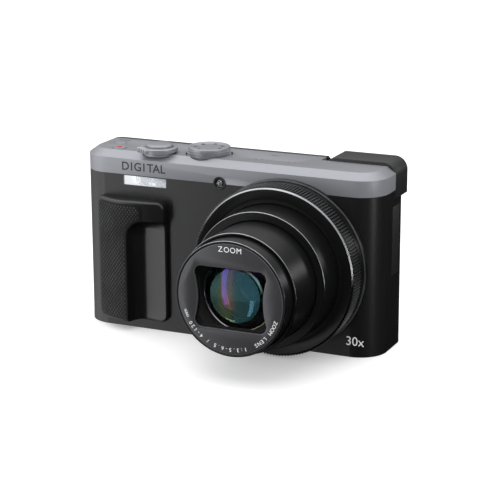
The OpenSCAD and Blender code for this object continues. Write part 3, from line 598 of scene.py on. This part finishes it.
def makeGrip():
    look = gripLook
    low, high = span("grip")
    lowXZ, highXZ = (low.x, low.z), (high.x, high.z)
    frontY = span("front_shell")[0].y
    columns = int((high.x - low.x) / look["cell"])
    rows = int((high.z - low.z) / look["cell"])
    bm = bmesh.new()
    place = (Matrix.Translation(((low.x + high.x) / 2, 0, (low.z + high.z) / 2)) @ facing
             @ Matrix.Diagonal(((high.x - low.x) / 2, (high.z - low.z) / 2, 1, 1)))
    bmesh.ops.create_grid(bm, x_segments=columns, y_segments=rows, size=1, matrix=place)
    corner = look["cornerRadius"]
    for vert in bm.verts:  # corners are drawn in to round ones, then each point rises to the surface
        cx = min(max(vert.co.x, low.x + corner), high.x - corner)
        cz = min(max(vert.co.z, low.z + corner), high.z - corner)
        off = Vector((vert.co.x - cx, vert.co.z - cz))
        if off.length > corner:
            off *= corner / off.length
            vert.co.x, vert.co.z = cx + off.x, cz + off.y
        vert.co.y = frontY - gripHeight(vert.co.x, vert.co.z, lowXZ, highXZ)
    rim = [e for e in bm.edges if e.is_boundary]
    skirt = bmesh.ops.extrude_edge_only(bm, edges=rim)["geom"]
    for vert in [g for g in skirt if isinstance(g, bmesh.types.BMVert)]:
        vert.co.y = frontY + 1.0
    bmesh.ops.holes_fill(bm, edges=[e for e in bm.edges if e.is_boundary], sides=0)
    bmesh.ops.recalc_face_normals(bm, faces=bm.faces)
    addPiece(bm, "grip_body", "root", "black_shell", ["grip"], sharp=50)


def makePad():
    look = padLook
    frontY = span("front_shell")[0].y
    step = (gripLook["step"][0] - look["stepIn"][0], gripLook["step"][1] + look["stepIn"][1])

    def inside(x, z):
        return min(insideRounded(x, z, look["low"], look["high"], look["cornerRadius"]),
                   -pastStep(x, z, step, gripLook["stepRadius"]))

    bm = bmesh.new()
    wornAndSheen = bm.loops.layers.float.new("wearAndSheen")
    width, height = (h - l for l, h in zip(look["low"], look["high"]))
    place = (Matrix.Translation((look["low"][0] + width / 2, 0, look["low"][1] + height / 2)) @ facing
             @ Matrix.Diagonal((width / 2, height / 2, 1, 1)))
    bmesh.ops.create_grid(bm, x_segments=int(width / 0.3), y_segments=int(height / 0.3), size=1, matrix=place)
    far = [f for f in bm.faces if inside(f.calc_center_median().x, f.calc_center_median().z) < 0]
    bmesh.ops.delete(bm, geom=far, context="FACES")
    border = {v for e in bm.edges if e.is_boundary for v in e.verts}
    for vert in border:  # the cut edge's points slide out to the true outline
        for turn in range(6):
            x, z = vert.co.x, vert.co.z
            gap = inside(x, z)
            slope = Vector((inside(x + 0.01, z) - gap, inside(x, z + 0.01) - gap)) / 0.01
            if slope.length > 0.1:
                vert.co.x -= slope.x * gap * 0.8 / slope.length_squared
                vert.co.z -= slope.y * gap * 0.8 / slope.length_squared
    for vert in bm.verts:
        vert.co.y = frontY - crownRise(vert.co.x) - look["thickness"]
    rim = [e for e in bm.edges if e.is_boundary]
    skirt = bmesh.ops.extrude_edge_only(bm, edges=rim)["geom"]
    for vert in [g for g in skirt if isinstance(g, bmesh.types.BMVert)]:
        vert.co.y += look["thickness"] + 0.6
    bmesh.ops.holes_fill(bm, edges=[e for e in bm.edges if e.is_boundary], sides=0)
    bmesh.ops.recalc_face_normals(bm, faces=bm.faces)
    across, up, rise = look["lozenge"]
    stepX, stepZ = look["pitch"][0] / 2, look["pitch"][1] / 2
    for i in range(int(width / stepX)):
        for k in range(int(height / stepZ)):
            x, z = look["low"][0] + (i + 0.5) * stepX, look["low"][1] + (k + 0.5) * stepZ
            if (i + k) % 2 or inside(x, z) < 0.75:
                continue
            slope = crownRise(x + 0.05) - crownRise(x - 0.05)
            tilt = Matrix.Rotation(-math.atan(slope / 0.1), 4, "Z")
            at = Vector((x, frontY - crownRise(x) - look["thickness"], z))
            place = (Matrix.Translation(at) @ tilt @ facing @ Matrix.Diagonal((across, up, 1, 1)))
            made = bmesh.ops.create_cone(bm, cap_ends=True, segments=4, radius1=0.5, radius2=0.26,
                                         depth=rise * 2, matrix=place)
            for loop in [l for v in made["verts"] for l in v.link_loops]:  # rubbed towards the tips; the tips' lighter tone is partly wear and partly a painted highlight
                loop[wornAndSheen] = 1.0 if loop.vert.co.y < at.y - rise * 0.5 else 0.0
    addPiece(bm, "grip_pad_textured", "root", "grip_rubber", ["grip_pad"], sharp=40)


# lens

ringLook = {
    "ribs": 168,
    "ribDepth": 0.5,
    "bore": 26.65,
    "mouth": 25.1,  # radius of the ring's mouth
    "lip": 0.75,  # thickness of the front lip at the mouth
    "frontEdge": 28.35,  # radius where the front face ends in the cut chamfer
    "ribLength": 5.4,
    "grooves": (1.1, 2.3),  # places of two fine grooves, ahead of the ring's back
}

barrelLook = {  # outer radius, bore at the mouth, bore behind the lip, depth of the lip, chamfer
    "stage_1": (23.3, 20.35, 21.45, 1.5, 0.15),
    "stage_2": (20.2, 19.25, 19.25, 1.5, 0.14),
    "stage_3": (19.1, 18.3, 18.3, 1.5, 0.12),
}


def makeControlRing():
    look = ringLook
    low, high = span("control_ring")
    outer, front, back = (high.x - low.x) / 2, low.y, high.y
    valley = outer - look["ribDepth"]
    ribFront, ribBack = front + 0.75, front + 0.75 + look["ribLength"]
    band = outer - 0.25
    mouth, bore, edge, lip = look["mouth"], look["bore"], look["frontEdge"], front + look["lip"]
    profile = [(mouth, lip), (mouth, front + 0.45), (mouth + 0.35, front + 0.3),
               (edge - 0.3, front + 0.02), (edge, front), (valley - 0.02, front + 0.42),
               (valley, ribFront - 0.15), (outer, ribFront), (outer, ribBack), (valley, ribBack + 0.2),
               (valley, ribBack + 0.5), (band, ribBack + 0.62)]
    for groove in look["grooves"][::-1]:
        profile += [(band, back - groove - 0.16), (band - 0.16, back - groove - 0.1),
                    (band - 0.16, back - groove + 0.1), (band, back - groove + 0.16)]
    profile += [(band, back - 0.2), (band - 0.2, back), (bore, back), (bore, lip)]
    bm = turned(profile, steps=look["ribs"] * 4)
    step = math.tau / (look["ribs"] * 4)
    for vert in bm.verts:  # two columns in every four sink to make the valleys between the ribs
        radius = math.hypot(vert.co.x, vert.co.z)
        column = round(math.atan2(vert.co.z, vert.co.x) / step) % 4
        if radius > outer - 0.01 and ribFront - 0.01 < vert.co.y < ribBack + 0.01 and column > 1:
            vert.co.x *= valley / radius
            vert.co.z *= valley / radius
    wornAndSheen = bm.loops.layers.float.new("wearAndSheen")
    for loop in [l for v in bm.verts for l in v.link_loops]:  # the ribs' crests are rubbed
        radius = math.hypot(loop.vert.co.x, loop.vert.co.z)
        if radius > outer - 0.05 and loop.vert.co.y < ribBack + 0.05:
            loop[wornAndSheen] = 0.6
    for face in bm.faces:  # the narrow chamfer between the front face and the ribs is cut bright
        middle = face.calc_center_median()
        radius = math.hypot(middle.x, middle.z)
        if edge + 0.02 < radius < valley and middle.y < front + 0.42:
            face.material_index = 1
    addPiece(bm, "control_ring_ribbed", "control_ring", ["lens_black", "cutEdge"], ["control_ring"],
             lensPlace, 25)


def makeCollar():
    low, high = span("lens_collar")
    flange, hub, bore = (high.x - low.x) / 2, 26.6, 25.4
    face = span("control_ring")[1].y + 0.2
    bm = turned([(bore, high.y), (flange, high.y), (flange, face + 0.3), (flange - 0.3, face),
                 (hub, face), (hub, low.y), (bore, low.y)])
    roundEdges(bm, 0.1, 2)
    addPiece(bm, "lens_collar_turned", "root", "lens_black", ["lens_collar"], lensPlace)


def makeBarrels():
    for node, (outer, mouth, bore, lip, chamfer) in barrelLook.items():
        low, high = span(node)
        front, back = low.y, high.y - 0.05
        profile = [(mouth, front + 0.25), (mouth + 0.25, front), (outer - chamfer, front),
                   (outer, front + chamfer)]
        if node == "stage_3":
            profile += [(outer, back), (mouth, back)]
        else:
            profile += [(outer, back - 1.5), (outer + 1.0, back - 1.5), (outer + 1.0, back)]
            plate = [(10.0, back), (10.0, back - 1.1), (bore, back - 1.1)]  # closes the first barrel's back
            profile += plate if node == "stage_1" else [(bore, back)]
            profile += [(bore, front + lip), (mouth, front + lip)] if bore > mouth else []
        bm = turned(profile, steps=180)
        for face in bm.faces:
            middle = face.calc_center_median()
            radius = math.hypot(middle.x, middle.z)
            if outer - chamfer < radius < outer and middle.y < front + chamfer:
                face.material_index = 1
        addPiece(bm, node + "_turned", node, ["lens_black", "cutEdge"], [node], lensPlace, 20)


glassLook = {  # outer radius, front ball and back ball
    "front_element": (12.4, 26.0, 60.0),
    "zoom_element": (6.5, 18.0, 18.0),
    "focus_element": (5.2, 20.0, 20.0),
}


def makeElements():
    for node, (radius, frontBall, backBall) in glassLook.items():
        low, high = span(node)
        rows = 20
        radii = [radius * i / rows for i in range(rows + 1)]
        sagFront = [frontBall - math.sqrt(frontBall ** 2 - r * r) for r in radii]
        sagBack = [backBall - math.sqrt(backBall ** 2 - r * r) for r in radii]
        profile = [(r, low.y + s) for r, s in zip(radii, sagFront)]
        profile += [(r, high.y - s) for r, s in zip(radii[::-1], sagBack[::-1])]
        bm = turned(profile, steps=120, closed=False)
        piece = addPiece(bm, node + "_polished", bodyOf[node], "coated_glass", [node], lensPlace, 40)
        if node == "zoom_element":
            piece.data.materials[0] = materials["innerGlass"]


retainerLook = {  # thin bright-edged rings: body, inner radius, outer radius, front
    "element_retainer": ("stage_3", 12.15, 13.6, -51.2),
    "shoulder_retainer": ("stage_3", 8.05, 10.2, -46.9),
    "group_retainer": ("stage_2", 5.9, 8.2, -37.6),
}


def makeRetainers():
    for name, (body, inner, outer, front) in retainerLook.items():
        bm = turned([(inner, front + 0.9), (inner, front + 0.25), (inner + 0.22, front), (outer, front + 0.1),
                     (outer, front + 0.9)])
        for face in bm.faces:
            middle = face.calc_center_median()
            if inner + 0.01 < math.hypot(middle.x, middle.z) < inner + 0.21 and middle.y < front + 0.24:
                face.material_index = 1
        addPiece(bm, name, body, ["lens_inner", "cutEdge"], (), lensPlace, 20)


def makeLensLettering():
    front = span("name_ring")[0].y
    radius = 16.35
    word = "ZOOM"
    texts = [(letter, 1.8, (i - 1.5) * 2.15, radius - 0.95, 0) for i, letter in enumerate(word)]
    lettering("lens_word", "stage_3", "whiteInk", texts,
              Matrix.Translation((lensCentre.x, front - 0.005, lensCentre.z)) @ facing)
    line = "ZOOM LENS  1:3.5-6.5 / 4-120 mm"
    start, end = -20, -160  # degrees from the right, round the lower edge to the left, tops outwards
    texts = []
    for i, letter in enumerate(line):
        angle = math.radians(start + (end - start) * i / (len(line) - 1))
        if letter != " ":
            x, y = 16.15 * math.cos(angle), 16.15 * math.sin(angle)
            texts.append((letter, 1.3, x, y, math.degrees(angle) - 90))
    lettering("lens_data", "stage_3", "whiteInk", texts,
              Matrix.Translation((lensCentre.x, front - 0.005, lensCentre.z)) @ facing)


# controls on the top plate

dialLook = {
    "rimRadius": 7.35,
    "studs": 60,
    "studRows": 3,
    "stud": (0.46, 0.34),  # base radius and rise
    "dish": (6.35, 5.5, 0.55),  # outer and inner radius of the sloping wall, and its depth
    "marks": "PASM12C",
    "markHeight": 1.45,
    "markCircle": 4.05,  # radius on which the marks' feet stand
}


def makeModeDial():
    look = dialLook
    low, high = span("mode_dial")
    centre = (low + high) / 2
    top, foot = high.z, span("top_cover")[1].z - 1.2
    rim = look["rimRadius"]
    dishOuter, dishInner, depth = look["dish"]
    profile = [(0, low.z), (2, low.z), (2, foot), (rim - 0.3, foot), (rim, foot + 0.3), (rim, top - 0.75)]
    profile += arc((rim - 0.55, top - 0.55), 0.55, 0, 90, 5)
    profile += [(dishOuter + 0.15, top), (dishOuter, top - 0.08), (dishInner, top - depth),
                (3.9, top - depth + 0.1), (0, top - depth + 0.2)]
    bm = turned(profile, "Z", 120, closed=False)
    roundEdges(bm, 0.08, 1, 25)
    studRadius, rise = look["stud"]
    rowPitch = (top - 1.0 - foot - 0.3) / look["studRows"]
    for row in range(look["studRows"]):
        for i in range(look["studs"]):
            turn = math.tau * (i + 0.5 * (row % 2)) / look["studs"]
            height = foot + 0.45 + rowPitch * (row + 0.5)
            place = (Matrix.Rotation(turn, 4, "Z") @ Matrix.Translation((rim, 0, height))
                     @ Matrix.Rotation(math.radians(90), 4, "Y") @ Matrix.Diagonal((1.15, 0.86, 1, 1)))
            bmesh.ops.create_cone(bm, cap_ends=True, segments=4, radius1=studRadius, radius2=0.1,
                                  depth=rise * 2, matrix=place)
    addPiece(bm, "mode_dial_knurled", "mode_dial", "silver_top", ["mode_dial"],
             Matrix.Translation((centre.x, centre.y, 0)), 24)
    marks = []
    for i, mark in enumerate(look["marks"]):
        angle = math.tau * i / len(look["marks"])
        x, y = look["markCircle"] * math.sin(angle), look["markCircle"] * math.cos(angle)
        marks.append((mark, look["markHeight"], x, y, -math.degrees(angle)))
    lettering("mode_dial_marks", "mode_dial", "darkInk", marks,
              Matrix.Translation((centre.x, centre.y, top - depth + 0.06)), 0.2)


capLook = {
    "foot": 64.0,
    "dome": 0.4,
    "edge": 0.55,
    "dish": 30.0,  # radius of the ball that curves the cap's top
}


def makeShutterButton():
    low, high = span("shutter_button")
    centre = (low + high) / 2
    radius, top = (high.x - low.x) / 2, high.z
    foot, edge, ball = capLook["foot"], capLook["edge"], capLook["dish"]
    shoulder = top - capLook["dome"] - edge
    profile = [(0, low.z), (1.5, low.z), (1.5, foot), (radius - 0.1, foot), (radius, foot + 0.1),
               (radius, shoulder)]
    profile += arc((radius - edge, shoulder), edge, 10, 68, 5)
    rows = 8
    inner = profile[-1][0] - 0.15
    for i in range(rows + 1):
        reach = inner * (1 - i / rows)
        profile.append((reach, top - 0.02 - (ball - math.sqrt(ball ** 2 - reach ** 2))))
    bm = turned(profile, "Z", 96, closed=False)
    addPiece(bm, "shutter_cap", "shutter_button", "silver_top", ["shutter_button"],
             Matrix.Translation((centre.x, centre.y, 0)), 40)


leverLook = {
    "angle": 237,  # direction of the tab from +X
    "ribs": 4,
    "ribWidth": 0.62,
    "ribPitch": 1.18,
    "ribReach": 7.95,
    "ribDrop": 1.0,  # how far a rib runs below the ring
}


def makeZoomLever():
    look = leverLook
    low, high = span("zoom_lever")
    cap = span("shutter_button")
    centre = (cap[0] + cap[1]) / 2
    bm = copyOf("zoom_lever")
    roundEdges(bm, 0.3, 3)
    for i in range(look["ribs"]):
        offset = (i - (look["ribs"] - 1) / 2) * look["ribPitch"]
        turn = Matrix.Rotation(math.radians(look["angle"]), 4, "Z")
        place = Matrix.Translation((centre.x, centre.y, 0)) @ turn
        rib = bmesh.new()
        addBox(rib, (5.4, offset - look["ribWidth"] / 2, high.z - 1.5 - look["ribDrop"] + 1.05),
               (look["ribReach"], offset + look["ribWidth"] / 2, high.z + 0.32), place)
        roundEdges(rib, 0.26, 3)
        mesh = bpy.data.meshes.new("rib")
        rib.to_mesh(mesh)
        rib.free()
        bm.from_mesh(mesh)
        bpy.data.meshes.remove(mesh)
    addPiece(bm, "zoom_lever_ribbed", "zoom_lever", "silver_top", ["zoom_lever"])


def makeTopButtons():
    for node, dot in (("movie_button", 1.1), ("power_button", 0)):
        low, high = span(node)
        centre = (low + high) / 2
        radius, top = (high.x - low.x) / 2, high.z
        foot = top - (1.2 if dot else 0.8)
        profile = [(0, low.z), (1, low.z), (1, foot), (radius, foot), (radius, top - 0.3)]
        profile += arc((radius - 0.3, top - 0.3), 0.3, 15, 90, 4)
        inset = [(radius - 0.7, top - 0.12), (dot, top - 0.12), (0, top - 0.12)]  # seat of the red dot
        profile += inset if dot else [(0, top - 0.02)]
        place = Matrix.Translation((centre.x, centre.y, 0))
        bm = turned(profile, "Z", 72, closed=False)
        addPiece(bm, node + "_turned", node, "silver_top", [node], place, 40)
        if dot:
            bm = turned([(0, top - 0.5), (dot, top - 0.5), (dot, top - 0.12), (dot - 0.15, top - 0.02),
                         (0, top)], "Z", 48, closed=False)
            addPiece(bm, "record_dot", node, "redInk", (), place, 40)


# flash and focus lamp

flashLook = {"left": -34.2, "ribs": 26, "ripple": 0.14, "depth": 1.5, "tube": 0.45}


def makeFlash():
    look = flashLook
    low, high = span("flash_window")
    middleZ, halfZ = (low.z + high.z) / 2, (high.z - low.z) / 2 - 0.3
    left, right = look["left"], high.x - 0.5
    front = high.y + 0.35
    bm = bmesh.new()
    columns, rows = look["ribs"] * 4, 14
    bmesh.ops.create_grid(bm, x_segments=columns, y_segments=rows, size=1)
    for vert in bm.verts:  # a trough whose walls ripple along its length
        x, along = vert.co.x, vert.co.y * math.radians(80)
        ripple = look["ripple"] * math.cos((x + 1) / 2 * look["ribs"] * math.tau)
        vert.co = Vector((left + (right - left) * (x + 1) / 2,
                          front + look["depth"] * math.cos(along) + ripple * 0.5,
                          middleZ + (halfZ + 0.05) * math.sin(along) / math.sin(math.radians(80))))
    bmesh.ops.recalc_face_normals(bm, faces=bm.faces)
    bmesh.ops.solidify(bm, geom=bm.faces, thickness=0.12)
    addPiece(bm, "flash_reflector", "root", "flash_silver", (), None, 60)
    bm = turned([(0, left + 0.3), (look["tube"], left + 0.4), (look["tube"], right - 0.4), (0, right - 0.3)],
                "Y", 32, closed=False)
    addPiece(bm, "flash_tube", "root", "clear_window", (),
             Matrix.Translation((0, front + 0.75, middleZ)) @ Matrix.Rotation(math.radians(-90), 4, "Z"), 40)
    bm = copyOf("flash_window")
    roundEdges(bm, 0.15, 2)
    for i in range(look["ribs"]):  # fine prisms on the inside of the window
        x = left + (right - left) * (i + 0.5) / look["ribs"]
        addBox(bm, (x - 0.11, high.y - 0.02, low.z + 0.25), (x + 0.11, high.y + 0.12, high.z - 0.25))
    addPiece(bm, "flash_window_prisms", "root", "clear_window", ["flash_window"])
    bm = bmesh.new()
    addBox(bm, (low.x + 0.6, high.y + 0.02, low.z + 0.35), (left - 1.5, high.y + 0.3, high.z - 0.35))
    addBox(bm, (left - 1.1, high.y + 0.02, low.z + 0.3), (left - 0.25, high.y + 0.5, high.z - 0.3))
    roundEdges(bm, 0.12, 2)
    addPiece(bm, "flash_electrode", "root", "screen_module", ())


def makeFocusLamp():
    low, high = span("af_lamp")
    centre = (low + high) / 2
    radius, front = (high.x - low.x) / 2, low.y
    place = Matrix.Translation((centre.x, 0, centre.z))
    bm = turned([(0, high.y), (radius, high.y), (radius, front + 0.12), (radius - 0.12, front - 0.03),
                 (radius - 0.5, front - 0.03), (radius - 0.65, front + 0.12), (radius - 0.8, front + 0.9),
                 (0, front + 0.95)],
                "Y", 72, closed=False)
    addPiece(bm, "lamp_bezel", "root", "lamp_black", ["af_lamp"], place, 25)
    dome = radius - 0.82
    rows = 8
    ball = 2.6
    profile = [(dome * i / rows, front + 0.15 + ball - math.sqrt(ball ** 2 - (dome * i / rows) ** 2))
               for i in range(rows + 1)]
    profile += [(dome, front + 0.85), (0, front + 0.85)]
    bm = turned(profile, "Y", 64, closed=False)
    addPiece(bm, "lamp_lens", "root", "clear_window", (), place, 35)
    bm = turned([(0.45, front + 0.9), (0.45, front + 0.7), (0.6, front + 0.62), (0.75, front + 0.7),
                 (0.75, front + 0.9)], "Y", 48)
    addPiece(bm, "lamp_emitter", "root", "bright_steel", (), place, 35)


# marks on the body

def makeMarks():
    frontY = span("front_shell")[0].y
    topZ = span("top_cover")[1].z
    face = Matrix.Translation((0, frontY - 0.012, 0)) @ facing
    word = [(letter, 3.0, -37.9 + i * 2.42, 57.0, 0) for i, letter in enumerate("DIGITAL")]
    lettering("front_word", "root", "darkInk", word, face, weight=0.05)
    lettering("front_mark", "root", "whiteInk", [("30x", 3.2, 48.2, 4.2, 0)], face)
    plate = Matrix.Translation((0, 0, topZ + 0.012))
    lettering("top_marks", "root", "darkInk", [
        ("ON/OFF", 0.9, -47.6, 4.0, 0), ("T", 1.1, -20.6, -9.9, 0), ("W", 1.1, -33.6, -9.4, 0),
        ("FLASH", 0.8, 12, 2.0, 0)], plate)
    turn = Matrix.Rotation(math.radians(180), 4, "Z")
    back = Matrix.Translation((0, span("rear_shell")[1].y + 0.012, 0)) @ turn @ facing
    lettering("rear_marks", "root", "whiteInk", [
        ("DISP", 1.3, 46.5, 10.8, 0), ("MENU", 1.2, 25, 10.8, 0), ("PLAY", 1.3, 24.5, 39.2, 0),
        ("LOCK", 1.2, 34, 48.6, 0)], back)


def makeScene():
    makeCamera(cameraLook)
    for name, (place, target, size, power, colour) in softboxes.items():
        makeSoftbox(name, place, target, size, power, colour)
    bm = bmesh.new()
    bmesh.ops.create_grid(bm, x_segments=2, y_segments=2, size=2.5)
    mesh = bpy.data.meshes.new("studioFloor")
    bm.to_mesh(mesh)
    bm.free()
    mesh.materials.append(paperFloor())
    floor = bpy.data.objects.new("studioFloor", mesh)
    bpy.context.scene.collection.objects.link(floor)
    mesh.transform(Matrix.Translation((0, 0, -0.05 * metre)))
    floor.visible_glossy = False
    world = bpy.data.worlds.new("studioWorld")
    bpy.context.scene.world = world
    world.use_nodes = True
    tree = world.node_tree
    tree.nodes.clear()
    paintedGlow = studioGlow
    place = addNode(tree, "TexCoord")
    split = addNode(tree, "SeparateXYZ", {"Vector": place.outputs["Generated"]})
    side = addNode(tree, "MapRange", {
        "Value": split.outputs["X"], "From Min": paintedGlow["sideFrom"], "From Max": paintedGlow["sideTo"],
        "To Min": paintedGlow["right"], "To Max": paintedGlow["left"],
    }, interpolation_type="SMOOTHSTEP")
    ahead = addNode(tree, "MapRange", {"Value": split.outputs["Y"], "From Min": 0.4, "From Max": -0.3,
                                       "To Min": 0.25, "To Max": 1.0})
    level = addNode(tree, "Math", {0: side.outputs[0], 1: ahead.outputs[0]}, operation="MULTIPLY")
    above = addNode(tree, "MapRange", {"Value": split.outputs["Z"], "From Min": 0.1, "From Max": 0.95,
                                       "To Min": 0.0, "To Max": paintedGlow["above"]},
                    interpolation_type="SMOOTHSTEP")
    total = addNode(tree, "Math", {0: level.outputs[0], 1: above.outputs[0]}, operation="ADD")
    ray = addNode(tree, "LightPath")
    shiny = addNode(tree, "Background", {"Color": (1, 1, 1, 1), "Strength": total.outputs[0]})
    matt = addNode(tree, "Background", {"Color": (1, 1, 1, 1), "Strength": paintedGlow["matt"]})
    white = addNode(tree, "Background", {"Color": (1, 1, 1, 1), "Strength": 1.0})
    soft = addNode(tree, "Math", {0: ray.outputs["Is Diffuse Ray"], 1: ray.outputs["Is Transmission Ray"]},
                   operation="MAXIMUM")
    lit = addNode(tree, "MixShader", {0: soft.outputs[0], 1: shiny.outputs[0], 2: matt.outputs[0]})
    mix = addNode(tree, "MixShader",
                  {0: ray.outputs["Is Camera Ray"], 1: lit.outputs[0], 2: white.outputs[0]})
    tree.nodes.new("ShaderNodeOutputWorld")
    tree.links.new(mix.outputs[0], tree.nodes["World Output"].inputs["Surface"])
    bpy.context.scene.view_settings.view_transform = "Standard"
    bpy.context.scene.view_settings.look = "None"
    print("camera, floor and light")


makeScene()
makeSoftened()
makeGrip()
makePad()
print("grip")
makeControlRing()
makeCollar()
makeBarrels()
makeElements()
makeRetainers()
makeLensLettering()
print("lens")
makeModeDial()
makeShutterButton()
makeZoomLever()
makeTopButtons()
print("top controls")
makeFlash()
makeFocusLamp()
makeMarks()
print("flash, lamp and marks")
